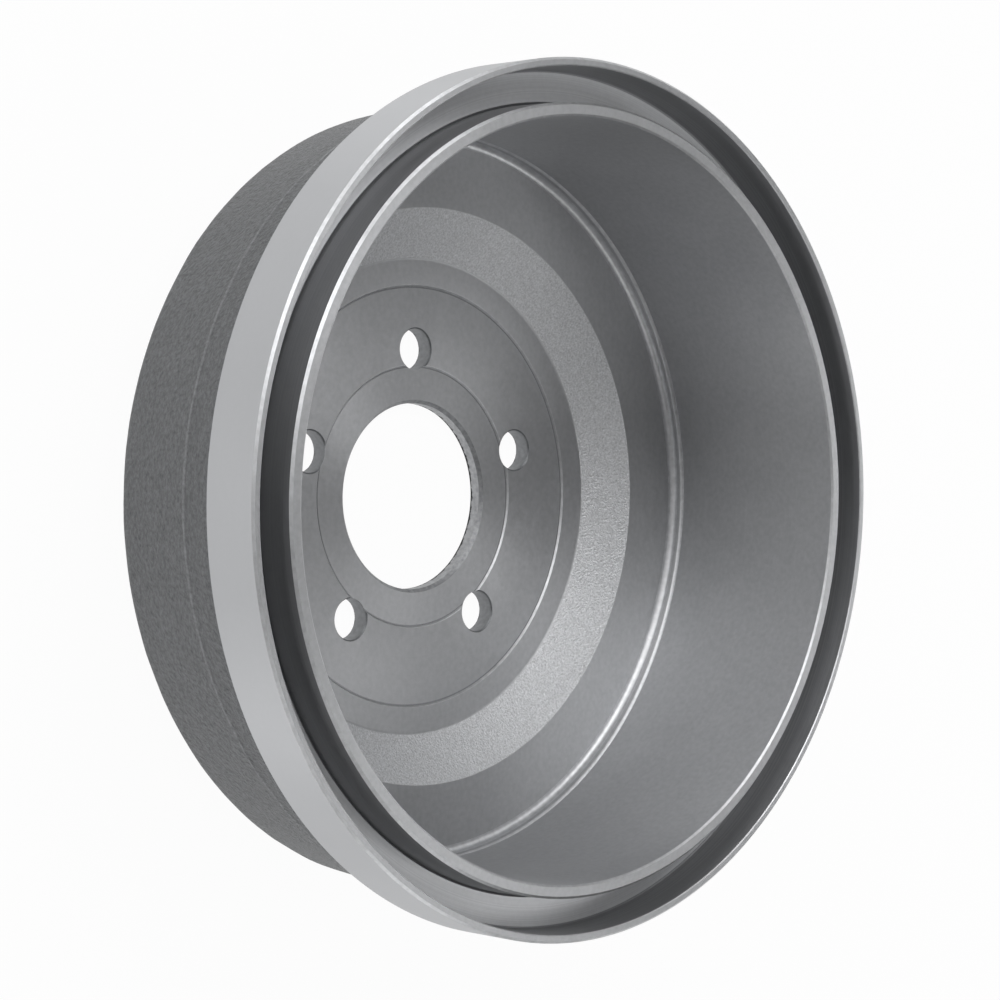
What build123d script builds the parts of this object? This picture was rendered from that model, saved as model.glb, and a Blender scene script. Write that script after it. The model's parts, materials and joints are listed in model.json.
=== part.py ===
from build123d import *
import math
import os

# Brake drum for a light-truck rear axle: one casting in grey iron, turned where it works.
# Millimetres. +Z is the drum's axis and points to the open side, where the shoes go in.
# The origin is on the axis, in the wheel-mounting face on which the drum rests.

# ---- driving dimensions ----
FRICTION_DIA = 279.4        # 11 in track on which the brake shoes bear
OVERALL_HEIGHT = 101.5      # wheel-mounting face to the rim of the open side
RIM_DIA = 321.6             # turned outside of the rim
RIM_BAND = 24.2             # axial width of that turned band
RIM_WALL = 3.1              # thin lip that covers the edge of the backing plate
GROOVE_DEPTH = 16.1         # ring-shaped groove which the edge of the backing plate enters
TRACK_RING_WALL = 5.0       # friction ring beside the groove, at its mouth
TRACK_DEPTH = 79.5          # rim to the end of the turned friction track
PILOT_DIA = 72.4            # bore that centres the drum on the hub
STUD_CIRCLE_DIA = 114.3     # 4.5 in wheel-stud circle
STUD_HOLE_DIA = 16.0
STUD_HOLE_CHAMFER = 0.5     # on the brake side
STUD_COUNT = 5
STUD_START_DEG = 36.0       # first hole, anticlockwise from +X

# ---- web, from the bore outwards ----
WEB_THICKNESS = 6.9         # seat between the two turned steps
HUB_RELIEF_DIA = 101.0      # shallow relief about the bore
HUB_RELIEF_DEPTH = 0.6
HUB_SEAT_DIA = 162.6        # turned seat for the hub flange
HUB_SEAT_STEP = 0.7
CONE_INNER_R = 92.0         # as-cast cone between the seat and the floor
CONE_OUTER_R = 111.4
FLOOR_HEIGHT = 17.9         # turned floor, at the top of the cone
FLOOR_RISE = 1.2            # the floor climbs this much on its way to the corner
CORNER_R = 138.8            # narrow shoulder left below the friction track
CORNER_BEVEL = 1.2
WHEEL_FACE_R = 88.0         # turned wheel-mounting face

# ---- outside of the casting ----
SHOULDER_R = 147.5          # barrel at the closed end, before its rounding
SHOULDER_FILLET = 4.0
SHOULDER_HEIGHT = 13.0      # underside of the rounded shoulder
BACK_CONE_R = 116.0         # where the back face turns down to the wheel face
BARREL_DRAFT_DEG = 4.5      # moulding draft of the as-cast barrel
RIM_BEVEL = 3.5             # where the barrel runs into the back of the rim
PARTING_HEIGHT = 52.5       # low ridge left where the two mould halves met
PARTING_WIDTH = 1.6
PARTING_RIDGE = 0.35

# ---- broken edges ----
RIM_CHAMFER = 0.9
EDGE_CHAMFER = 0.7
FINE_CHAMFER = 0.35

friction_r = FRICTION_DIA / 2
rim_r = RIM_DIA / 2
rim_inner_r = rim_r - RIM_WALL
track_ring_r = friction_r + TRACK_RING_WALL
pilot_r = PILOT_DIA / 2
groove_floor_z = OVERALL_HEIGHT - GROOVE_DEPTH
track_end_z = OVERALL_HEIGHT - TRACK_DEPTH
corner_floor_z = FLOOR_HEIGHT + FLOOR_RISE
rim_back_z = OVERALL_HEIGHT - RIM_BAND
outer_seat_z = WEB_THICKNESS + HUB_SEAT_STEP
relief_z = WEB_THICKNESS - HUB_RELIEF_DEPTH
draft = math.tan(math.radians(BARREL_DRAFT_DEG))


def barrel_r(z):
    """Radius of the tapered as-cast barrel at height z."""
    return SHOULDER_R + draft * (z - SHOULDER_HEIGHT)


# Half section of the drum in the XZ plane, (radius, height), started at the
# wheel face beside the bore and followed round with the metal on the left.
outside = [
    (pilot_r, 0),
    (WHEEL_FACE_R, 0),
    (WHEEL_FACE_R + 1.2, 1.2),
    (BACK_CONE_R, SHOULDER_HEIGHT - 1.5),
    (SHOULDER_R, SHOULDER_HEIGHT),
    (barrel_r(PARTING_HEIGHT - PARTING_WIDTH / 2), PARTING_HEIGHT - PARTING_WIDTH / 2),
    (barrel_r(PARTING_HEIGHT) + PARTING_RIDGE, PARTING_HEIGHT),
    (barrel_r(PARTING_HEIGHT + PARTING_WIDTH / 2), PARTING_HEIGHT + PARTING_WIDTH / 2),
    (barrel_r(rim_back_z), rim_back_z),
    (rim_r, rim_back_z),
    (rim_r, OVERALL_HEIGHT),
]
rim_and_groove = [
    (rim_inner_r, OVERALL_HEIGHT),
    (rim_inner_r - 0.3, groove_floor_z),
    (track_ring_r + 0.3, groove_floor_z),
    (track_ring_r, OVERALL_HEIGHT),
    (friction_r, OVERALL_HEIGHT),
]
inside = [
    (friction_r, track_end_z),
    (CORNER_R, track_end_z - 0.6),
    (CORNER_R, corner_floor_z),
    (CONE_OUTER_R, FLOOR_HEIGHT),
    (CONE_INNER_R, outer_seat_z),
    (HUB_SEAT_DIA / 2 + HUB_SEAT_STEP / 2, outer_seat_z),
    (HUB_SEAT_DIA / 2, WEB_THICKNESS),
    (HUB_RELIEF_DIA / 2 + HUB_RELIEF_DEPTH / 2, WEB_THICKNESS),
    (HUB_RELIEF_DIA / 2, relief_z),
    (pilot_r, relief_z),
]

with BuildPart() as drum:
    with BuildSketch(Plane.XZ) as section:
        with BuildLine():
            Polyline(*outside, *rim_and_groove, *inside, close=True)
        make_face()

        def corners(*points):
            """Vertices of the section nearest to the given (radius, height) points."""
            return [section.vertices().sort_by_distance(p)[0] for p in points]

        fillet(corners((SHOULDER_R, SHOULDER_HEIGHT)), SHOULDER_FILLET)
        chamfer(corners((barrel_r(rim_back_z), rim_back_z)), RIM_BEVEL)
        chamfer(corners((CORNER_R, corner_floor_z)), CORNER_BEVEL)
        chamfer(corners((rim_r, OVERALL_HEIGHT)), RIM_CHAMFER)
        chamfer(
            corners((track_ring_r, OVERALL_HEIGHT), (friction_r, OVERALL_HEIGHT)),
            EDGE_CHAMFER,
        )
        chamfer(
            corners(
                (rim_inner_r, OVERALL_HEIGHT),
                (rim_r, rim_back_z),
                (pilot_r, relief_z),
                (pilot_r, 0),
            ),
            FINE_CHAMFER,
        )
    revolve(axis=Axis.Z)

    # Five clearance holes for the wheel studs, through the web and deburred on the brake side.
    with PolarLocations(STUD_CIRCLE_DIA / 2, STUD_COUNT, start_angle=STUD_START_DEG):
        Cylinder(STUD_HOLE_DIA / 2, 3 * WEB_THICKNESS, mode=Mode.SUBTRACT)
    with Locations((0, 0, WEB_THICKNESS)):
        with PolarLocations(STUD_CIRCLE_DIA / 2, STUD_COUNT, start_angle=STUD_START_DEG):
            Cone(
                STUD_HOLE_DIA / 2,
                STUD_HOLE_DIA / 2 + 2 * STUD_HOLE_CHAMFER,
                2 * STUD_HOLE_CHAMFER,
                mode=Mode.SUBTRACT,
            )

os.makedirs("parts", exist_ok=True)
export_step(drum.part, "parts/brake_drum.step")
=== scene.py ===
# %% [markdown]
# # A cast-iron brake drum
# The drum is one grey-iron casting. The foundry leaves a sandy skin on it, and the lathe then cuts the
# surfaces that work: the rim band, the labyrinth groove, the friction track, the web and the bore. This
# lesson draws the half section that the lathe leaves, turns it, drills it, and gives each surface the
# finish of how it was made.

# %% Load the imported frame
import json
import math
import bmesh
import bpy
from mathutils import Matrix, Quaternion, Vector


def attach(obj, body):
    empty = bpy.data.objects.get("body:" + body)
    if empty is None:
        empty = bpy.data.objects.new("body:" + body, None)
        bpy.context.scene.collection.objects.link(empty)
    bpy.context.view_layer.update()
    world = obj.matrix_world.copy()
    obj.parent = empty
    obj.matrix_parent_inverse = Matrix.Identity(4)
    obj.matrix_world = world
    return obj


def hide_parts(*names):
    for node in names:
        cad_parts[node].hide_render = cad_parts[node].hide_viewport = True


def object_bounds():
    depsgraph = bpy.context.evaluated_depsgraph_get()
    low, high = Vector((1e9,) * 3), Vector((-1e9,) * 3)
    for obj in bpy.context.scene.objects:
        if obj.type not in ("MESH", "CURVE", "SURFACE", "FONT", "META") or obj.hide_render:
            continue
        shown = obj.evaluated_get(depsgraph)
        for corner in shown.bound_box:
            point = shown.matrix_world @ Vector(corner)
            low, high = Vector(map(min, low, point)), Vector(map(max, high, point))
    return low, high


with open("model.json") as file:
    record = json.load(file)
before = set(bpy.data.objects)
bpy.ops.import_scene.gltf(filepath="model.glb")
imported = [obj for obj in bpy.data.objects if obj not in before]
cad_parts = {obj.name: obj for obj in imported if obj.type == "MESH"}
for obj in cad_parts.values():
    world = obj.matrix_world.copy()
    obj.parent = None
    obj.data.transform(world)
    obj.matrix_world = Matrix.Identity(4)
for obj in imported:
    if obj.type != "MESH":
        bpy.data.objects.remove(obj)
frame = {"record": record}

cad_box = [list(corner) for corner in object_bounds()]
MM = 0.001
WHITE = (1, 1, 1, 1)
print("CAD box, m:", cad_box)

# %% [markdown]
# ## Two small helpers
# Hex colours are how a colour is picked on a screen, but shaders work in linear light, so one function
# turns one into the other. A second one adds a node, sets it up and links it, so each tree below reads
# like a recipe.

# %% Helpers
def linear(hex_colour):
    """An sRGB hex colour as linear RGBA."""
    parts = [int(hex_colour[i:i + 2], 16) / 255 for i in (1, 3, 5)]
    return tuple(c / 12.92 if c <= 0.04045 else ((c + 0.055) / 1.055) ** 2.4 for c in parts) + (1.0,)


def add(tree, kind, inputs=None, **settings):
    """Add a node, set its properties, and set or link each input named in inputs."""
    node = tree.nodes.new(kind)
    for name, value in settings.items():
        setattr(node, name, value)
    for key, value in (inputs or {}).items():
        if isinstance(value, bpy.types.NodeSocket):
            tree.links.new(value, node.inputs[key])
        else:
            node.inputs[key].default_value = value
    return node


print("linear mid grey:", [round(c, 3) for c in linear("#808080")])

# %% [markdown]
# ## Sizes
# Sizes are in millimetres, as on a workshop drawing. The bore, the track and the stud circle come from
# the mounts that the frame states, and the height and the rim from its box, so the drum fits the solid
# that it stands for. The others are named values, in the order in which the section is drawn. They could
# be written straight into the corners, but then a change to one wall would have to be made in several
# places.

# %% Sizes from the frame
mounts = {m["name"]: m["dims"] for m in frame["record"]["mounts"]}
PILOT_R = mounts["pilot_bore"]["r_mm"]
TRACK_R = mounts["brake_track"]["r_mm"]
STUD_CIRCLE_R = mounts["wheel_studs"]["pcd_mm"] / 2
STUD_R = mounts["wheel_studs"]["hole_r_mm"]
STUD_COUNT = int(mounts["wheel_studs"]["count"])
HEIGHT = round(cad_box[1][2] / MM, 3)
RIM_R = round(cad_box[1][0] / MM, 3)
print("track", TRACK_R, "bore", PILOT_R, "rim", RIM_R, "height", HEIGHT)
print("studs:", STUD_COUNT, "of", STUD_R, "on", STUD_CIRCLE_R)

# %% Sizes of the casting
WHEEL_FACE_R = 88.0
WHEEL_FACE_RISE = 1.2
WHEEL_FACE_FILLET = 0.8
BACK_CONE_R = 116.0
BACK_DISH = 1.5
BACK_FILLET = 6.0
SHOULDER_R = 147.5
SHOULDER_Z = 13.0
SHOULDER_FILLET = 4.0
DRAFT = math.tan(math.radians(4.5))
PARTING_Z = 52.5
PARTING_RIDGE = 0.35
PARTING_HALF = 0.8
RIM_FILLET = 5.0
SKIN_RUN = 1.6
print("barrel:", SHOULDER_R, "at the shoulder, parting at", PARTING_Z)

# %% Sizes that the lathe cuts
FINE_CHAMFER = 0.35
RIM_CHAMFER = 0.9
RING_CHAMFER = 0.95
TRACK_CHAMFER = 0.7
BORE_CHAMFER = 1.3
RIM_BAND = 24.2
RIM_WALL = 3.1
GROOVE_DEPTH = 16.1
GROOVE_LEAN = 0.3
GROOVE_FILLET = 0.8
UNDERCUT = 0.8
UNDERCUT_R = 1.2
TRACK_WALL = 5.0
TRACK_DEPTH = 79.5
TOOL_NOSE = 0.2
# The run-out groove: its depth, its start above the end of the track, and its deepest point below that.
RUN_OUT = 1.0
RUN_OUT_RISE = 0.7
RUN_OUT_FALL = 0.1
# Under the groove a ledge stands proud of the track, and the wall then leans in to its foot at the floor.
LEDGE = 0.2
LEDGE_FALL = 1.1
FOOT = 0.8
FOOT_FALL = 1.2
FOOT_FILLET = 3.0
FLOOR_Z = 17.9
FLOOR_R = 111.4
FLOOR_FILLET = 0.6
CONE_R = 92.0
CONE_FILLET = 2.5
WEB = 6.9
SEAT_R = 81.35
SEAT_STEP = 0.7
RELIEF_R = 50.5
RELIEF_STEP = 0.6
STUD_CHAMFER = 0.5
STUD_START_DEG = 36.0
print("wall beside the end of the track:", round(SHOULDER_R - TRACK_R, 1), "web:", WEB)

# %% [markdown]
# ## The half section
# A lathe part is known by its half section: the radius and the height of each corner, with a fillet or a
# bevel where the tool or the mould leaves one. A Bevel modifier could round the corners, but each one
# here needs its own size and finish, because some of them carry a painted highlight. So a corner
# is a small record, and one function works out the points.

# %% Finishes by number
# Two of these are darker and paler copies of turned iron, painted shade on the groove's walls and painted
# light on its floor, and one draws painted highlights on the edges.
FINISH_NAMES = ("Turned", "Skin", "Blasted", "Bored", "Bright", "Grooved", "Ground", "Faced", "Drilled")
TURNED, SKIN, BLASTED, BORED, BRIGHT_HIGHLIGHT, GROOVED_SHADE, GROUND, FACED_LIGHT, DRILLED = range(len(FINISH_NAMES))
print("finishes:", dict(enumerate(FINISH_NAMES)))


# %% Kinds of corner
def sharp(r, z, side):
    """A plain corner, with the finish of the side that follows it."""
    return r, z, 0, 0, side, side


def bevel(r, z, size, edge, side):
    """A flat bevel, with its own finish and that of the side that follows it."""
    return r, z, size, 1, edge, side


def fillet(r, z, size, steps, edge, side):
    """A fillet in so many steps, with its own finish and that of the side that follows it."""
    return r, z, size, steps, edge, side


def turned_step(r, before, after, high, low, cut):
    """A shallow step on the web with a painted highlight on top, its foot cut a little deeper by the point
    of the tool and painted darker as shade.
    """
    return [fillet(r + before, high, 0.3, 2, BRIGHT_HIGHLIGHT, BRIGHT_HIGHLIGHT), bevel(r, low - cut, 0.1, GROOVED_SHADE, GROOVED_SHADE),
            fillet(r - after, low, TOOL_NOSE, 2, TURNED, TURNED)]


print("a bevel as a record:", bevel(PILOT_R, 0, FINE_CHAMFER, BRIGHT_HIGHLIGHT, TURNED))


# %% Points of the section
def rounded(corners):
    """Points of a closed section, each with the finish of the side that starts there."""
    points = []
    for i, (r, z, size, steps, edge, finish) in enumerate(corners):
        here = Vector((r, z))
        if not size:
            points.append((r, z, finish))
            continue
        before = (Vector(corners[i - 1][:2]) - here).normalized()
        after = (Vector(corners[(i + 1) % len(corners)][:2]) - here).normalized()
        half = before.angle(after) / 2
        reach = size if steps == 1 else size / math.tan(half)
        start, end = here + before * reach, here + after * reach
        if steps == 1:
            points += [(*start, edge), (*end, finish)]
            continue
        centre = here + (before + after).normalized() * (size / math.sin(half))
        first, last = (start - centre).normalized(), (end - centre).normalized()
        for k in range(steps + 1):
            points.append((*(centre + first.slerp(last, k / steps) * size), edge if k < steps else finish))
    return points


def divided(points, finish, longest):
    """The same closed section with the sides of one finish cut into short runs."""
    result = []
    for i, (r, z, kind) in enumerate(points):
        result.append((r, z, kind))
        r2, z2, _ = points[(i + 1) % len(points)]
        runs = math.ceil(math.dist((r, z), (r2, z2)) / longest) if kind == finish else 1
        result += [(r + (r2 - r) * k / runs, z + (z2 - z) * k / runs, kind) for k in range(1, runs)]
    return result


# %% The corners, round the section with the metal on the left
def barrel(z):
    """Radius of the drafted barrel at a height."""
    return SHOULDER_R + DRAFT * (z - SHOULDER_Z)


rim_back = HEIGHT - RIM_BAND
rim_in = RIM_R - RIM_WALL
groove_z = HEIGHT - GROOVE_DEPTH
ring_r = TRACK_R + TRACK_WALL
track_end = HEIGHT - TRACK_DEPTH
casting = [
    bevel(PILOT_R, 0, FINE_CHAMFER, BRIGHT_HIGHLIGHT, TURNED),
    sharp(WHEEL_FACE_R, 0, SKIN),
    fillet(WHEEL_FACE_R + WHEEL_FACE_RISE, WHEEL_FACE_RISE, WHEEL_FACE_FILLET, 3, SKIN, SKIN),
    fillet(BACK_CONE_R, SHOULDER_Z - BACK_DISH, BACK_FILLET, 4, SKIN, SKIN),
    fillet(SHOULDER_R, SHOULDER_Z, SHOULDER_FILLET, 7, SKIN, SKIN),
    sharp(barrel(PARTING_Z - PARTING_HALF), PARTING_Z - PARTING_HALF, SKIN),
    sharp(barrel(PARTING_Z) + PARTING_RIDGE, PARTING_Z, SKIN),
    sharp(barrel(PARTING_Z + PARTING_HALF), PARTING_Z + PARTING_HALF, SKIN),
    fillet(barrel(rim_back), rim_back, RIM_FILLET, 8, SKIN, SKIN),
]
# The lip's inner wall, the undercut and the ring's outer wall take the darker finish, painted shade, and
# the groove's floor the paler one, painted light.
rim_and_groove = [
    bevel(RIM_R, rim_back, FINE_CHAMFER, GROUND, GROUND),
    bevel(RIM_R, HEIGHT, RIM_CHAMFER, BRIGHT_HIGHLIGHT, TURNED),
    bevel(rim_in, HEIGHT, FINE_CHAMFER, BRIGHT_HIGHLIGHT, GROOVED_SHADE),
    fillet(rim_in - GROOVE_LEAN, groove_z, GROOVE_FILLET, 3, GROOVED_SHADE, FACED_LIGHT),
    sharp(ring_r + UNDERCUT_R, groove_z, GROOVED_SHADE),
    sharp(ring_r + GROOVE_LEAN, groove_z - UNDERCUT, GROOVED_SHADE),
    bevel(ring_r, HEIGHT, RING_CHAMFER, BRIGHT_HIGHLIGHT, TURNED),
]
# The tool runs out of the track into a small groove. Its bottom, its lower edge and the fillet at the foot
# of the wall carry painted highlights.
track_and_floor = [
    bevel(TRACK_R, HEIGHT, TRACK_CHAMFER, BRIGHT_HIGHLIGHT, TURNED),
    sharp(TRACK_R, track_end + RUN_OUT_RISE, TURNED),
    fillet(TRACK_R + RUN_OUT, track_end - RUN_OUT_FALL, TOOL_NOSE, 2, BRIGHT_HIGHLIGHT, BRIGHT_HIGHLIGHT),
    bevel(TRACK_R - LEDGE, track_end - LEDGE_FALL, TOOL_NOSE, BRIGHT_HIGHLIGHT, TURNED),
    fillet(TRACK_R - FOOT, FLOOR_Z - FOOT_FALL, FOOT_FILLET, 8, BRIGHT_HIGHLIGHT, TURNED),
    fillet(FLOOR_R, FLOOR_Z, FLOOR_FILLET, 2, TURNED, BLASTED),
]
web = [
    fillet(CONE_R, WEB + SEAT_STEP, CONE_FILLET, 4, TURNED, TURNED),
    *turned_step(SEAT_R, before=0.65, after=0.55, high=WEB + SEAT_STEP, low=WEB, cut=0.15),
    *turned_step(RELIEF_R, before=0.6, after=0.5, high=WEB, low=WEB - RELIEF_STEP, cut=0.1),
    bevel(PILOT_R, WEB - RELIEF_STEP, BORE_CHAMFER, BORED, BORED),
]
section = divided(rounded(casting + rim_and_groove + track_and_floor + web), SKIN, longest=SKIN_RUN)
print("section points:", len(section))


# %% The section as a mesh that the tree can read
def section_mesh(name, points):
    """Section points as vertices in order, with the finish of their side and whether they were cast."""
    mesh = bpy.data.meshes.new(name)
    mesh.from_pydata([(r * MM, 0, z * MM) for r, z, _ in points], [], [])
    kinds = [kind for _, _, kind in points]
    cast = [float(SKIN in (kind, kinds[i - 1])) for i, kind in enumerate(kinds)]
    mesh.attributes.new("finish", "INT", "POINT").data.foreach_set("value", kinds)
    mesh.attributes.new("cast", "FLOAT", "POINT").data.foreach_set("value", cast)
    return mesh


drum = bpy.data.objects.new("drum_casting", section_mesh("drum_casting", section))
bpy.context.scene.collection.objects.link(drum)
print("section mesh vertices:", len(drum.data.vertices))

# %% [markdown]
# ## Finishes
# All of it is grey iron, class 250 or so, and the making sets the look. Image textures could be wrapped
# round it, but a pattern worked out from the point on the drum needs no unwrapping and meets itself on
# every side. Each pattern is scaled in real millimetres. Lathe marks follow radius plus height, which
# changes across the marks on flat, round and tapered faces alike.

# %% Coordinates for the patterns
def in_millimetres(tree):
    """A socket for the point on the drum, in millimetres."""
    place = add(tree, "ShaderNodeTexCoord").outputs["Object"]
    return add(tree, "ShaderNodeVectorMath", {0: place, "Scale": 1 / MM}, operation="SCALE").outputs[0]


def across_marks(tree, mm):
    """A socket for radius plus height."""
    flat = add(tree, "ShaderNodeVectorMath", {0: mm, 1: (1, 1, 0)}, operation="MULTIPLY").outputs[0]
    radius = add(tree, "ShaderNodeVectorMath", {0: flat}, operation="LENGTH").outputs["Value"]
    height = add(tree, "ShaderNodeSeparateXYZ", {0: mm}).outputs["Z"]
    return add(tree, "ShaderNodeMath", {0: radius, 1: height}, operation="ADD").outputs[0]


def blank_material(name):
    """A material with an empty tree but for its output and a Principled shader."""
    material = bpy.data.materials.new(name)
    material.use_nodes = True
    tree = material.node_tree
    tree.nodes.clear()
    shader = add(tree, "ShaderNodeBsdfPrincipled")
    add(tree, "ShaderNodeOutputMaterial", {"Surface": shader.outputs[0]})
    return material, tree, shader


print("millimetres in a Blender unit:", round(1 / MM))

# %% [markdown]
# ## Turned iron
# A turned face keeps the path of the tool as fine rings. They could be carved or drawn, but real ones are
# about 0.1 mm apart, too fine to show, so the shader smears its highlight across them instead. A ring
# noise stands for chatter and worn spots of the tool, and is strong only where a broad tool cut the face.

# %% Turned grey iron
MARKS_PER_MM = 1.3  # real marks are about ten to a millimetre, and these are drawn coarser to show
GRAIN_PER_MM = 0.5  # graphite flakes bunch in cells of a millimetre or two
CLOUD_PER_MM = 0.04  # uneven wiping and handling, over a few centimetres


def turned_iron(name, dark, light, streaks):
    """Bare grey iron off the lathe: satin metal, smeared across the tool marks, with a faint mottle."""
    material, tree, shader = blank_material(name)
    mm = in_millimetres(tree)
    across = across_marks(tree, mm)
    rings = add(tree, "ShaderNodeTexNoise", {"W": across, "Scale": MARKS_PER_MM, "Detail": 3.0,
                "Roughness": 0.7}, noise_dimensions="1D").outputs["Fac"]
    cloud = add(tree, "ShaderNodeTexNoise", {"Vector": mm, "Scale": CLOUD_PER_MM, "Detail": 3.0})
    grain = add(tree, "ShaderNodeTexNoise", {"Vector": mm, "Scale": GRAIN_PER_MM, "Detail": 3.0})
    cloud, grain = cloud.outputs["Fac"], grain.outputs["Fac"]
    mottle = add(tree, "ShaderNodeMix", {"Factor": 0.75, "A": cloud, "B": grain},
                 data_type="FLOAT").outputs[0]
    tone = add(tree, "ShaderNodeMix", {"Factor": streaks, "A": mottle, "B": rings},
               data_type="FLOAT").outputs[0]
    colour = add(tree, "ShaderNodeMix", {"Factor": tone, "A": linear(dark), "B": linear(light)},
                 data_type="RGBA")
    tree.links.new(colour.outputs[2], shader.inputs["Base Color"])
    rough = add(tree, "ShaderNodeMapRange", {"Value": grain, "To Min": 0.44, "To Max": 0.58}).outputs[0]
    tree.links.new(rough, shader.inputs["Roughness"])
    bump = add(tree, "ShaderNodeBump", {"Height": rings, "Strength": 0.1, "Distance": 0.08 * MM}).outputs[0]
    tree.links.new(bump, shader.inputs["Normal"])
    along = add(tree, "ShaderNodeTangent", direction_type="RADIAL", axis="Z").outputs[0]
    tree.links.new(along, shader.inputs["Tangent"])
    shader.inputs["Metallic"].default_value = 1.0
    shader.inputs["Anisotropic"].default_value = 0.6
    shader.inputs["Anisotropic Rotation"].default_value = 0.25
    return material


# The walls of the groove and the small undercuts get a darker copy of turned iron, which is painted shade,
# and the floor of the groove a paler copy, which is painted light; both keep strong rings from the parting
# tool.
# The band round the rim is ground as it spins, which takes off its last marks and leaves it even.
FINISHES = {
    "Turned": turned_iron("turned_grey_iron", "#a4a5a7", "#cccdcf", streaks=0.1),
    "Grooved": turned_iron("parted_grey_iron", "#808183", "#b0b1b3", streaks=0.7),
    "Ground": turned_iron("ground_grey_iron", "#b3b4b6", "#bfc0c2", streaks=0.1),
    "Faced": turned_iron("faced_grey_iron", "#aeafb1", "#f0f1f3", streaks=0.7),
}
print("off the lathe:", list(FINISHES))

# %% [markdown]
# ## Burnished edges
# Chamfers and the roundings that the nose of the tool leaves are rubbed a little smoother than the faces
# beside them, and they are painted paler as well, a painted highlight that draws them as thin bright lines.
# A pointiness mask could find them, but it depends on how fine the mesh is, so these sides have a
# material of their own.

# %% Burnished grey iron
FLECKS_PER_MM = 0.4  # nicks and dull spots along an edge, two or three millimetres apart


def burnished_highlight_iron():
    """Edges rubbed by the tool: satin metal painted pale as a highlight, a little broken by dull flecks."""
    material, tree, shader = blank_material("burnished_grey_iron")
    mm = in_millimetres(tree)
    flecks = add(tree, "ShaderNodeTexNoise", {"Vector": mm, "Scale": FLECKS_PER_MM,
                 "Detail": 3.0}).outputs["Fac"]
    colour = add(tree, "ShaderNodeMix", {"Factor": flecks, "A": linear("#b6b7b9"), "B": linear("#e2e3e5")},
                 data_type="RGBA")
    tree.links.new(colour.outputs[2], shader.inputs["Base Color"])
    shader.inputs["Metallic"].default_value = 1.0
    shader.inputs["Roughness"].default_value = 0.45
    return material


# The edge finish is a painted highlight: its paler colour draws chamfers and roundings as thin bright
# lines.
FINISHES["Bright"] = burnished_highlight_iron()
print("edges:", FINISHES["Bright"].name)

# %% [markdown]
# ## Bored and drilled iron
# A dark broken band runs round the wall of a hole in its last millimetres above the wheel face. It is drawn
# as a colour: the height is shaken by noise before it is compared with the height at which the band stops.

# %% Bored and drilled grey iron
BLOTCHES_PER_MM = 0.6  # blotches are a millimetre or two long
SHAKE_MM = 2.5  # the noise averages a half, so the band ends at about band_mm less half of this
BAND_EDGE_MM = 0.5


def bored_iron(name, dark, light, band_mm):
    """The wall of a hole: dull and mottled, with a dark broken band in its last millimetres above the wheel
    face.
    """
    material, tree, shader = blank_material(name)
    mm = in_millimetres(tree)
    blotches = add(tree, "ShaderNodeTexNoise", {"Vector": mm, "Scale": BLOTCHES_PER_MM,
               "Detail": 3.0}).outputs["Fac"]
    height = add(tree, "ShaderNodeSeparateXYZ", {0: mm}).outputs["Z"]
    shaken = add(tree, "ShaderNodeMath", {0: blotches, 1: SHAKE_MM, 2: height},
                 operation="MULTIPLY_ADD").outputs[0]
    above_band = add(tree, "ShaderNodeMapRange", {"Value": shaken, "From Min": band_mm,
                "From Max": band_mm + BAND_EDGE_MM}).outputs[0]
    iron = add(tree, "ShaderNodeMix", {"Factor": blotches, "A": linear(dark), "B": linear(light)},
               data_type="RGBA").outputs[2]
    colour = add(tree, "ShaderNodeMix", {"Factor": above_band, "A": linear("#3a3b3c"), "B": iron},
                 data_type="RGBA")
    tree.links.new(colour.outputs[2], shader.inputs["Base Color"])
    bump = add(tree, "ShaderNodeBump", {"Height": blotches, "Strength": 0.4, "Distance": 0.3 * MM}).outputs[0]
    tree.links.new(bump, shader.inputs["Normal"])
    shader.inputs["Metallic"].default_value = 1.0
    shader.inputs["Roughness"].default_value = 0.55
    return material


FINISHES["Bored"] = bored_iron("bored_grey_iron", "#7e7f81", "#c2c3c5", band_mm=2.1)
# The stud holes are painted darker than the bore, as shade: their walls stand for the shaded floor under
# the web that they mirror.
FINISHES["Drilled"] = bored_iron("drilled_grey_iron", "#77787a", "#989a9c", band_mm=1.0)
print("holes:", FINISHES["Bored"].name, FINISHES["Drilled"].name)

# %% [markdown]
# ## The skin of the casting
# Where nothing was cut, the iron keeps the print of the moulding sand under a thin scale. The scale isn't
# bare metal, so this shader isn't metallic. Displacement could carve the grain, but that takes millions
# of faces, so a bump carries it. Along the small ridge where the two mould halves met, a paler broken
# line is painted on as a highlight.

# %% As-cast grey iron
SAND_PER_MM = 0.62  # moulding sand is 0.2 to 0.4 mm across, and is drawn about four times as coarse to show
PATCH_PER_MM = 0.05  # the painted highlight line wanders over about 20 mm
WANDER_MM = 1.2  # from a little under the ridge to a little over it
HIGHLIGHT_EDGE_MM = (0.2, 0.7)  # the line is whole to the first distance and gone by the second


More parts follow.
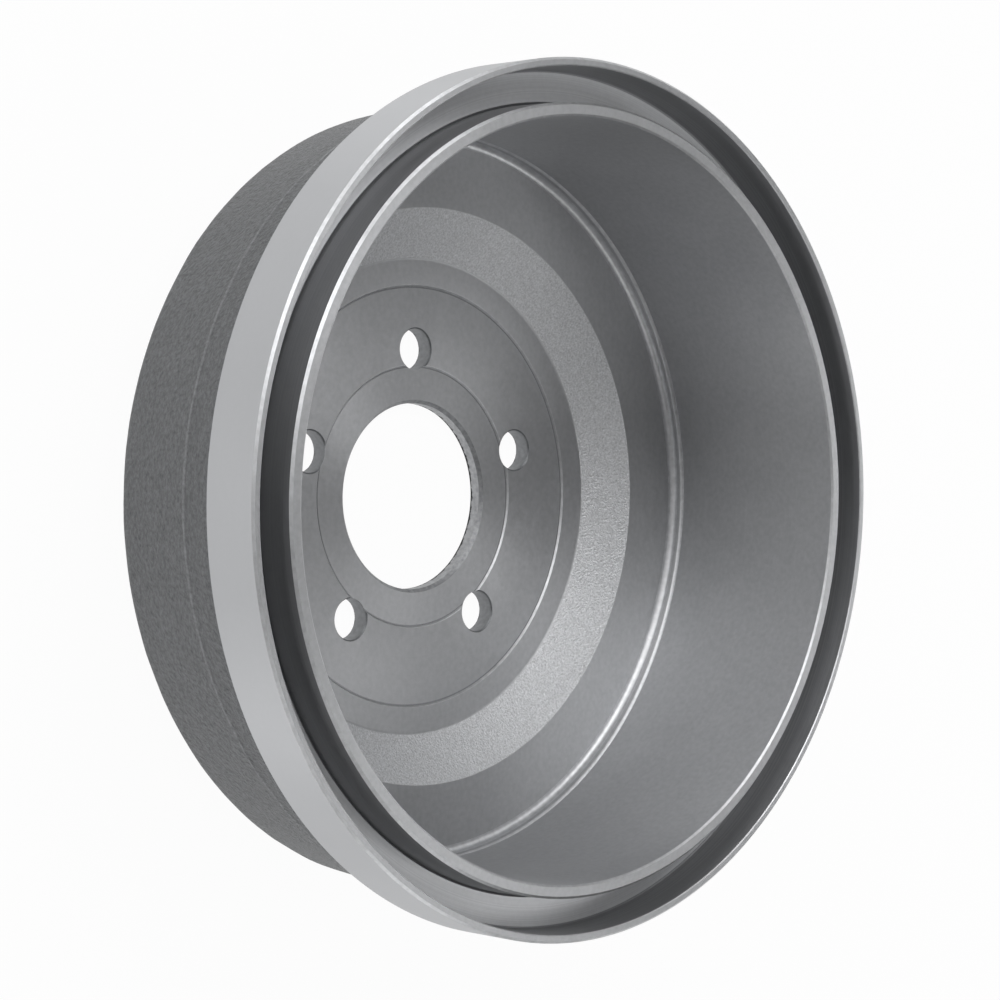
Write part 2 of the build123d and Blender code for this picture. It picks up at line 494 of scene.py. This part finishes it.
def cast_iron_skin():
    """As-cast grey iron: a dull dark skin in the grain of the sand, with a painted highlight along the
    parting ridge.
    """
    material, tree, shader = blank_material("as_cast_grey_iron")
    mm = in_millimetres(tree)
    sand = add(tree, "ShaderNodeTexNoise", {"Vector": mm, "Scale": SAND_PER_MM, "Detail": 3.0,
               "Roughness": 0.6}).outputs["Fac"]
    skin = add(tree, "ShaderNodeMix", {"Factor": sand, "A": linear("#303133"), "B": linear("#838587")},
               data_type="RGBA").outputs[2]
    height = add(tree, "ShaderNodeSeparateXYZ", {0: mm}).outputs["Z"]
    patch = add(tree, "ShaderNodeTexNoise", {"Vector": mm, "Scale": PATCH_PER_MM,
                "Detail": 3.0}).outputs["Fac"]
    parting = add(tree, "ShaderNodeMath", {0: patch, 1: WANDER_MM, 2: PARTING_Z - WANDER_MM / 3},
                  operation="MULTIPLY_ADD").outputs[0]
    off = add(tree, "ShaderNodeMath", {0: height, 1: parting}, operation="SUBTRACT").outputs[0]
    off = add(tree, "ShaderNodeMath", {0: off}, operation="ABSOLUTE").outputs[0]
    # The paler line along the parting ridge is a painted highlight.
    ridge_highlight = add(tree, "ShaderNodeMapRange", {"Value": off, "From Min": HIGHLIGHT_EDGE_MM[0],
                 "From Max": HIGHLIGHT_EDGE_MM[1], "To Min": 0.6, "To Max": 0.0}).outputs[0]
    ridge_highlight = add(tree, "ShaderNodeMath", {0: ridge_highlight, 1: sand}, operation="MULTIPLY").outputs[0]
    colour = add(tree, "ShaderNodeMix", {"Factor": ridge_highlight, "A": skin, "B": linear("#b4b5b7")},
                 data_type="RGBA")
    tree.links.new(colour.outputs[2], shader.inputs["Base Color"])
    bump = add(tree, "ShaderNodeBump", {"Height": sand, "Strength": 1.0, "Distance": 1.8 * MM}).outputs[0]
    tree.links.new(bump, shader.inputs["Normal"])
    shader.inputs["Roughness"].default_value = 0.5
    return material


FINISHES["Skin"] = cast_iron_skin()
print("cast:", FINISHES["Skin"].name)

# %% [markdown]
# ## The shot-blasted cone
# The cone between the floor and the hub seat was never turned. Steel shot knocks the sand and the scale
# off it and leaves bare metal in small pits, so it is rough but pale, and it glitters. Two textures could
# draw the colour and the bump, but one noise drives both here, so that the dark spots are the deep ones.

# %% Shot-blasted grey iron
PITS_PER_MM = 1.3  # shot of about 0.6 mm leaves pits of some tenths, drawn at twice their size to show


def blasted_iron():
    """Cast surface cleaned with shot: pale, matt and pitted in a fine grain."""
    material, tree, shader = blank_material("shot_blasted_grey_iron")
    mm = in_millimetres(tree)
    pits = add(tree, "ShaderNodeTexNoise", {"Vector": mm, "Scale": PITS_PER_MM, "Detail": 3.0,
               "Roughness": 0.6}).outputs["Fac"]
    colour = add(tree, "ShaderNodeMix", {"Factor": pits, "A": linear("#8a8b8d"), "B": linear("#f4f5f7")},
                 data_type="RGBA")
    tree.links.new(colour.outputs[2], shader.inputs["Base Color"])
    bump = add(tree, "ShaderNodeBump", {"Height": pits, "Strength": 0.7, "Distance": 0.4 * MM}).outputs[0]
    tree.links.new(bump, shader.inputs["Normal"])
    shader.inputs["Metallic"].default_value = 1.0
    shader.inputs["Roughness"].default_value = 0.5
    return material


FINISHES["Blasted"] = blasted_iron()
print("all finishes:", [FINISHES[name].name for name in FINISH_NAMES])

# %% [markdown]
# ## Turning the section in Geometry Nodes
# A Spin or a Screw modifier would turn the section too, but a node tree keeps the sizes and the stud
# pattern as numbers that can be changed. The tree lays a grid with one column for each step round and one
# row for each section point, and moves every grid point to where the lathe would leave it. A face takes
# the finish of the section point that it starts from.

# %% The tree and its inputs
drum_tree = bpy.data.node_groups.new("turn_and_drill", "GeometryNodeTree")
SIZE_INPUTS = ("Stud Circle Radius", "Stud Radius", "First Stud", "Chamfer Start", "Swell", "Clear Height")
wanted = [("Section", "Geometry"), ("Steps Round", "Int"), ("Stud Count", "Int")]
wanted += [(name, "Float") for name in SIZE_INPUTS] + [(name, "Material") for name in FINISH_NAMES]
sockets = {}
for name, kind in wanted:
    socket = drum_tree.interface.new_socket(name, in_out="INPUT", socket_type="NodeSocket" + kind)
    sockets[name] = socket.identifier
drum_tree.interface.new_socket("Drum", in_out="OUTPUT", socket_type="NodeSocketGeometry")
given = add(drum_tree, "NodeGroupInput").outputs
print("tree inputs:", ", ".join(sockets))


# %% Turning
def turned_body(tree, given):
    """The section turned about Z, with a finish on each face, and the section point of each grid point."""
    count = add(tree, "GeometryNodeAttributeDomainSize", {0: given["Section"]}).outputs["Point Count"]
    columns = add(tree, "ShaderNodeMath", {0: given["Steps Round"], 1: 1}, operation="ADD").outputs[0]
    rows = add(tree, "ShaderNodeMath", {0: count, 1: 1}, operation="ADD").outputs[0]
    grid = add(tree, "GeometryNodeMeshGrid", {"Vertices X": columns, "Vertices Y": rows}).outputs["Mesh"]
    index = add(tree, "GeometryNodeInputIndex").outputs[0]

    # The grid counts its points column by column. Its last row is the first point again, to close it.
    row = add(tree, "ShaderNodeMath", {0: index, 1: rows}, operation="MODULO").outputs[0]
    row = add(tree, "ShaderNodeMath", {0: row, 1: count}, operation="MODULO").outputs[0]
    column = add(tree, "ShaderNodeMath", {0: index, 1: 0.5}, operation="ADD").outputs[0]
    column = add(tree, "ShaderNodeMath", {0: column, 1: rows}, operation="DIVIDE").outputs[0]
    column = add(tree, "ShaderNodeMath", {0: column}, operation="FLOOR").outputs[0]
    step = add(tree, "ShaderNodeMath", {0: math.tau, 1: given["Steps Round"]},
               operation="DIVIDE").outputs[0]
    angle = add(tree, "ShaderNodeMath", {0: column, 1: step}, operation="MULTIPLY").outputs[0]
    place = add(tree, "GeometryNodeInputPosition").outputs[0]
    place = add(tree, "GeometryNodeSampleIndex", {"Geometry": given["Section"], "Value": place,
                "Index": row}, data_type="FLOAT_VECTOR", domain="POINT").outputs[0]
    place = add(tree, "ShaderNodeVectorRotate", {"Vector": place, "Angle": angle},
                rotation_type="Z_AXIS").outputs[0]

    # It counts its faces in the same way, with one face in each column for each side of the section.
    side = add(tree, "ShaderNodeMath", {0: index, 1: count}, operation="MODULO").outputs[0]
    kind = add(tree, "GeometryNodeInputNamedAttribute", {"Name": "finish"}, data_type="INT").outputs[0]
    kind = add(tree, "GeometryNodeSampleIndex", {"Geometry": given["Section"], "Value": kind,
               "Index": side}, data_type="INT", domain="POINT").outputs[0]
    body = add(tree, "GeometryNodeStoreNamedAttribute", {"Geometry": grid, "Name": "finish", "Value": kind},
               data_type="INT", domain="FACE").outputs[0]
    body = add(tree, "GeometryNodeSetPosition", {"Geometry": body, "Position": place}).outputs[0]
    return body, row


body, row = turned_body(drum_tree, given)
print("nodes for turning:", len(drum_tree.nodes))

# %% [markdown]
# ## The swell of the casting
# A mould gives a little under the iron, so a cast surface swells by a tenth or two of a millimetre, and
# each edge that it shares with a turned face wanders, as the parting line does. A Displace modifier could
# do it with a vertex group, but the grid has none. The tree knows which points were cast and moves only
# these, and near the wheel face it moves them sideways alone, so that the drum still stands level.

# %% Swelling
SWELL_PER_M = 60.0  # waves of 15 to 20 mm


def swollen(tree, given, body, row):
    """The body with its cast points pushed in and out, and up and down above the clear height."""
    here = add(tree, "GeometryNodeInputPosition").outputs[0]
    cast = add(tree, "GeometryNodeInputNamedAttribute", {"Name": "cast"}, data_type="FLOAT").outputs[0]
    cast = add(tree, "GeometryNodeSampleIndex", {"Geometry": given["Section"], "Value": cast,
               "Index": row}, data_type="FLOAT", domain="POINT").outputs[0]
    amount = add(tree, "ShaderNodeMath", {0: cast, 1: given["Swell"]}, operation="MULTIPLY").outputs[0]
    wave = add(tree, "ShaderNodeTexNoise", {"Vector": here, "Scale": SWELL_PER_M,
               "Detail": 3.0}).outputs["Color"]
    wave = add(tree, "ShaderNodeVectorMath", {0: wave, 1: (0.5, 0.5, 0.5)}, operation="SUBTRACT").outputs[0]
    wave = add(tree, "ShaderNodeSeparateXYZ", {0: wave}).outputs
    out = add(tree, "ShaderNodeVectorMath", {0: here, 1: (1, 1, 0)}, operation="MULTIPLY").outputs[0]
    out = add(tree, "ShaderNodeVectorMath", {0: out}, operation="NORMALIZE").outputs[0]
    push = add(tree, "ShaderNodeMath", {0: wave["X"], 1: amount}, operation="MULTIPLY").outputs[0]
    push = add(tree, "ShaderNodeVectorMath", {0: out, "Scale": push}, operation="SCALE").outputs[0]
    level = add(tree, "ShaderNodeSeparateXYZ", {0: here}).outputs["Z"]
    clear = add(tree, "ShaderNodeMath", {0: level, 1: given["Clear Height"]},
                operation="GREATER_THAN").outputs[0]
    lift = add(tree, "ShaderNodeMath", {0: wave["Y"], 1: amount}, operation="MULTIPLY").outputs[0]
    lift = add(tree, "ShaderNodeMath", {0: lift, 1: clear}, operation="MULTIPLY").outputs[0]
    lift = add(tree, "ShaderNodeCombineXYZ", {"Z": lift}).outputs[0]
    push = add(tree, "ShaderNodeVectorMath", {0: push, 1: lift}, operation="ADD").outputs[0]
    body = add(tree, "GeometryNodeSetPosition", {"Geometry": body, "Offset": push}).outputs[0]
    return add(tree, "GeometryNodeMergeByDistance", {"Geometry": body, "Distance": 0.001 * MM}).outputs[0]


body = swollen(drum_tree, given, body, row)
print("nodes with the swell:", len(drum_tree.nodes), "waves, mm:", round(1000 / SWELL_PER_M))

# %% [markdown]
# ## The stud holes
# Five wheel studs pass through the web. The drill is a cylinder whose upper half opens out at 45 degrees,
# so that one cut makes the hole and its chamfer. It is put on each point of a circle, and all five are
# taken from the body at once. Holes drawn into the grid instead would need faces that turn from square to
# round.

# %% Drilling
DRILL_SIDES = 48
DRILL_HALF = 10 * MM


def drilled(tree, given, body):
    """The body with a chamfered hole at each stud."""
    drill = add(tree, "GeometryNodeMeshCylinder", {"Vertices": DRILL_SIDES, "Side Segments": 2,
                "Radius": given["Stud Radius"], "Depth": 2 * DRILL_HALF}).outputs["Mesh"]
    drill = add(tree, "GeometryNodeStoreNamedAttribute", {"Geometry": drill, "Name": "finish",
                "Value": DRILLED}, data_type="INT", domain="FACE").outputs[0]
    corner = add(tree, "GeometryNodeInputPosition").outputs[0]
    level = add(tree, "ShaderNodeSeparateXYZ", {0: corner}).outputs["Z"]
    upper = add(tree, "ShaderNodeMath", {0: level, 1: DRILL_HALF / 2}, operation="GREATER_THAN").outputs[0]
    wide = add(tree, "ShaderNodeMath", {0: given["Stud Radius"], 1: DRILL_HALF}, operation="ADD").outputs[0]
    wide = add(tree, "ShaderNodeMath", {0: wide, 1: given["Stud Radius"]}, operation="DIVIDE").outputs[0]
    wide = add(tree, "ShaderNodeCombineXYZ", {"X": wide, "Y": wide, "Z": 1.0}).outputs[0]
    opened = add(tree, "ShaderNodeVectorMath", {0: corner, 1: wide}, operation="MULTIPLY").outputs[0]
    drill = add(tree, "GeometryNodeSetPosition", {"Geometry": drill, "Selection": upper,
                "Position": opened}).outputs[0]
    circle = add(tree, "GeometryNodeMeshCircle", {"Vertices": given["Stud Count"],
                 "Radius": given["Stud Circle Radius"]}).outputs[0]
    drills = add(tree, "GeometryNodeInstanceOnPoints", {"Points": circle, "Instance": drill}).outputs[0]
    turn = add(tree, "ShaderNodeCombineXYZ", {"Z": given["First Stud"]}).outputs[0]
    up = add(tree, "ShaderNodeCombineXYZ", {"Z": given["Chamfer Start"]}).outputs[0]
    drills = add(tree, "GeometryNodeTransform", {"Geometry": drills, "Rotation": turn,
                 "Translation": up}).outputs[0]
    drills = add(tree, "GeometryNodeRealizeInstances", {"Geometry": drills}).outputs[0]
    return add(tree, "GeometryNodeMeshBoolean", {"Mesh 1": body, "Mesh 2": drills}, operation="DIFFERENCE",
               solver="EXACT").outputs[0]


body = drilled(drum_tree, given, body)
print("nodes with the drill:", len(drum_tree.nodes))

# %% [markdown]
# ## Smooth faces and the finishes
# The turned faces are flat facets, so they are shaded smooth, and an edge stays sharp where two faces
# meet at more than a small angle. Splitting the edges would do the same but open the shell. Then each
# face gets the material of its finish, and the tree ends as one real mesh.

# %% Shading and materials
SHARP_DEG = 25


def dressed(tree, given, body):
    """The body shaded smooth between its sharp edges, with a material on each face."""
    smooth = add(tree, "GeometryNodeSetShadeSmooth", {"Geometry": body, "Shade Smooth": True}).outputs[0]
    angle = add(tree, "GeometryNodeInputMeshEdgeAngle").outputs["Unsigned Angle"]
    edge = add(tree, "FunctionNodeCompare", {0: angle, 1: math.radians(SHARP_DEG)}, data_type="FLOAT",
               operation="GREATER_THAN").outputs[0]
    smooth = add(tree, "GeometryNodeSetShadeSmooth", {"Geometry": smooth, "Selection": edge,
                 "Shade Smooth": False}, domain="EDGE").outputs[0]
    body = add(tree, "GeometryNodeRealizeInstances", {"Geometry": smooth}).outputs[0]
    kind = add(tree, "GeometryNodeInputNamedAttribute", {"Name": "finish"}, data_type="INT").outputs[0]
    for number, name in enumerate(FINISH_NAMES):
        here = add(tree, "FunctionNodeCompare", {2: kind, 3: number}, data_type="INT",
                   operation="EQUAL").outputs[0]
        body = add(tree, "GeometryNodeSetMaterial", {"Geometry": body, "Selection": here,
                   "Material": given[name]}).outputs[0]
    return body


add(drum_tree, "NodeGroupOutput", {"Drum": dressed(drum_tree, given, body)})
print("nodes in all:", len(drum_tree.nodes))

# %% [markdown]
# ## From the tree to a plain mesh
# The tree could stay live on the object, but the drum is kept as a plain mesh, so its sizes are set,
# it is evaluated once, and the result is kept. The grid that the tree starts from brings an empty
# material slot, which is taken away.

# %% Turn the drum and keep it as a plain mesh
STEPS_ROUND = 288
SWELL = 0.7
CLEAR_Z = 20.0
modifier = drum.modifiers.new("turning", "NODES")
modifier.node_group = drum_tree
values = {"Steps Round": STEPS_ROUND, "Stud Count": STUD_COUNT, "Stud Circle Radius": STUD_CIRCLE_R * MM,
          "Stud Radius": STUD_R * MM, "First Stud": math.radians(STUD_START_DEG),
          "Chamfer Start": (WEB - STUD_CHAMFER) * MM, "Swell": SWELL * MM, "Clear Height": CLEAR_Z * MM,
          **FINISHES}
for name, value in values.items():
    modifier[sockets[name]] = value
evaluated = drum.evaluated_get(bpy.context.evaluated_depsgraph_get())
finished = bpy.data.meshes.new_from_object(evaluated)
if finished.materials[0] is None:
    finished.materials.pop(index=0)
drum.modifiers.clear()
drum.data = finished
print("drum faces:", len(finished.polygons))
for slot, material in enumerate(finished.materials):
    print(" ", material.name, sum(face.material_index == slot for face in finished.polygons))

# %% [markdown]
# ## Check the piece and put it in place
# A closed shell has no open edge, and its volume comes out positive only if its faces point outwards.
# Both could be looked at in the viewport, but they are measured here, because a section that is drawn the
# other way round looks the same there. Then the piece takes the place of the solid and rides on the
# drum's only body.

# %% Check that the shell is closed and faces outwards
probe = bmesh.new()
probe.from_mesh(finished)
print("volume, litres:", round(probe.calc_volume(signed=True) * 1000, 3),
      "open edges:", sum(not edge.is_manifold for edge in probe.edges))
probe.free()

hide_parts("brake_drum")
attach(drum, "root")

# %% [markdown]
# ## Floor
# The drum rests on its wheel face on a plain pale floor. A floor lit until it is white would flood the
# metal with light, so the floor glows only for rays from the camera, from reflections and through glass.
# For all other light it is a matt surface, and it takes the drum's shadow. Seen from below it is clear.

# %% Floor
FLOOR_SIZE = 12.0
GLOW_SHARE = 0.96
bpy.ops.mesh.primitive_plane_add(size=FLOOR_SIZE, location=(0, 0, 0))
floor = bpy.context.object
floor.name = "floor"
material, tree, shader = blank_material("pale_floor")
shader.inputs["Base Color"].default_value = linear("#e9e9e9")
shader.inputs["Roughness"].default_value = 0.9
path = add(tree, "ShaderNodeLightPath").outputs
seen = add(tree, "ShaderNodeMath", {0: path["Is Camera Ray"], 1: path["Is Glossy Ray"]},
           operation="MAXIMUM")
seen = add(tree, "ShaderNodeMath", {0: seen.outputs[0], 1: path["Is Transmission Ray"]},
           operation="MAXIMUM")
share = add(tree, "ShaderNodeMath", {0: seen.outputs[0], 1: GLOW_SHARE}, operation="MULTIPLY")
glow = add(tree, "ShaderNodeEmission", {"Color": WHITE, "Strength": 1.0})
mixed = add(tree, "ShaderNodeMixShader", {0: share.outputs[0], 1: shader.outputs[0], 2: glow.outputs[0]})
clear = add(tree, "ShaderNodeBsdfTransparent")
below = add(tree, "ShaderNodeNewGeometry").outputs["Backfacing"]
either = add(tree, "ShaderNodeMixShader", {0: below, 1: mixed.outputs[0], 2: clear.outputs[0]})
output = next(node for node in tree.nodes if node.bl_idname == "ShaderNodeOutputMaterial")
tree.links.new(either.outputs[0], output.inputs["Surface"])
floor.data.materials.append(material)
print("floor:", floor.dimensions[:])

# %% [markdown]
# ## World
# Bare metal shows what is round it. In a room that is white all over it looks like grey paper, and its
# form shows only where light and dark meet on it. So the world is white to the camera and through glass,
# and dark to the metal, which leaves the softboxes and the floor to draw the form.

# %% World
world = bpy.data.worlds.new("studio")
bpy.context.scene.world = world
world.use_nodes = True
tree = world.node_tree
tree.nodes.clear()
path = add(tree, "ShaderNodeLightPath").outputs
seen = add(tree, "ShaderNodeMath", {0: path["Is Camera Ray"], 1: path["Is Transmission Ray"]},
           operation="MAXIMUM")
white = add(tree, "ShaderNodeBackground", {"Color": WHITE, "Strength": 1.0})
room = add(tree, "ShaderNodeBackground", {"Color": WHITE, "Strength": 0.0})
mixed = add(tree, "ShaderNodeMixShader", {0: seen.outputs[0], 1: room.outputs[0], 2: white.outputs[0]})
add(tree, "ShaderNodeOutputWorld", {"Surface": mixed.outputs[0]})
print("world:", world.name)

# %% [markdown]
# ## Camera
# The drum rests with its open side up, and the camera looks down into it at 45 degrees with a long lens,
# which keeps the circles close to true ellipses. It is also rolled by about a quarter turn, so that the
# drum appears to stand on its edge. Turning the drum instead would take it out of the frame that its
# solid uses.

# %% Camera
LENS_MM = 100.0
CAMERA_PLACE = Vector((-27.1, -738.5, 794.7)) * MM
LOOK_AZIMUTH_DEG = 2.14
LOOK_DOWN_DEG = 45.09
ROLL_DEG = 91.6255
camera_data = bpy.data.cameras.new("camera")
camera_data.lens = LENS_MM
camera_data.sensor_width = 36.0
camera = bpy.data.objects.new("camera", camera_data)
bpy.context.scene.collection.objects.link(camera)
azimuth, down = math.radians(LOOK_AZIMUTH_DEG), math.radians(LOOK_DOWN_DEG)
look = Vector((math.sin(azimuth) * math.cos(down), math.cos(azimuth) * math.cos(down), -math.sin(down)))
roll = Quaternion((0, 0, 1), math.radians(ROLL_DEG))
camera.location = CAMERA_PLACE
camera.rotation_euler = (look.to_track_quat("-Z", "Y") @ roll).to_euler()
bpy.context.scene.camera = camera
print("camera at", [round(c, 3) for c in CAMERA_PLACE])

# %% [markdown]
# ## Softboxes
# Three rings of softboxes stand round the drum: low ones reach the barrel and the rim, middle ones the
# wall of the track, and high ones the web and the floor. Two small ones put a streak on the rim and fill
# the front. One big lamp above would light all of it, but flat. Angles are counted from +X towards +Y: in
# the picture 180 degrees is up, 270 is left, 0 is down and 90 is right.

# %% Softboxes
SOFTBOX_REACH = 1.5
DRUM_MIDDLE = Vector((0, 0, HEIGHT / 2 * MM))
# Name, angle round the drum and height in degrees, width in metres, watts.
SOFTBOXES = (
    ("low_front", 270, 10, 0.6, 2.6),
    ("low_front_right", 315, 10, 0.6, 5.4),
    ("low_right", 0, 10, 0.6, 2.5),
    ("low_left", 180, 10, 0.6, 4.2),
    ("low_back", 90, 10, 0.6, 7.5),
    ("mid_front_left", 225, 32, 0.8, 6.6),
    ("mid_back", 90, 32, 0.8, 1.3),
    ("mid_back_left", 135, 32, 0.6, 1.2),
    ("high_left", 180, 56, 0.8, 8.3),
    ("high_back_left", 135, 56, 0.8, 0.5),
    ("high_right", 0, 56, 0.8, 2.3),
    ("high_back_right", 45, 56, 0.8, 1.0),
    ("rim_streak", 57, 44, 0.4, 1.6),
    ("front", 262, 45, 0.5, 0.6),
)


def softbox(name, angle_deg, height_deg, width, watts):
    """A square area lamp that stands round the drum and faces its middle."""
    angle, rise = math.radians(angle_deg), math.radians(height_deg)
    way = Vector((math.cos(angle) * math.cos(rise), math.sin(angle) * math.cos(rise), math.sin(rise)))
    lamp = bpy.data.lights.new(name, "AREA")
    lamp.size, lamp.energy = width, watts
    holder = bpy.data.objects.new(name, lamp)
    holder.location = DRUM_MIDDLE + way * SOFTBOX_REACH
    holder.rotation_euler = (-way).to_track_quat("-Z", "Y").to_euler()
    bpy.context.scene.collection.objects.link(holder)


for box in SOFTBOXES:
    softbox(*box)
bpy.context.scene.view_settings.view_transform = "Standard"
print("softboxes:", len(SOFTBOXES), "watts in all:", round(sum(box[-1] for box in SOFTBOXES), 1))
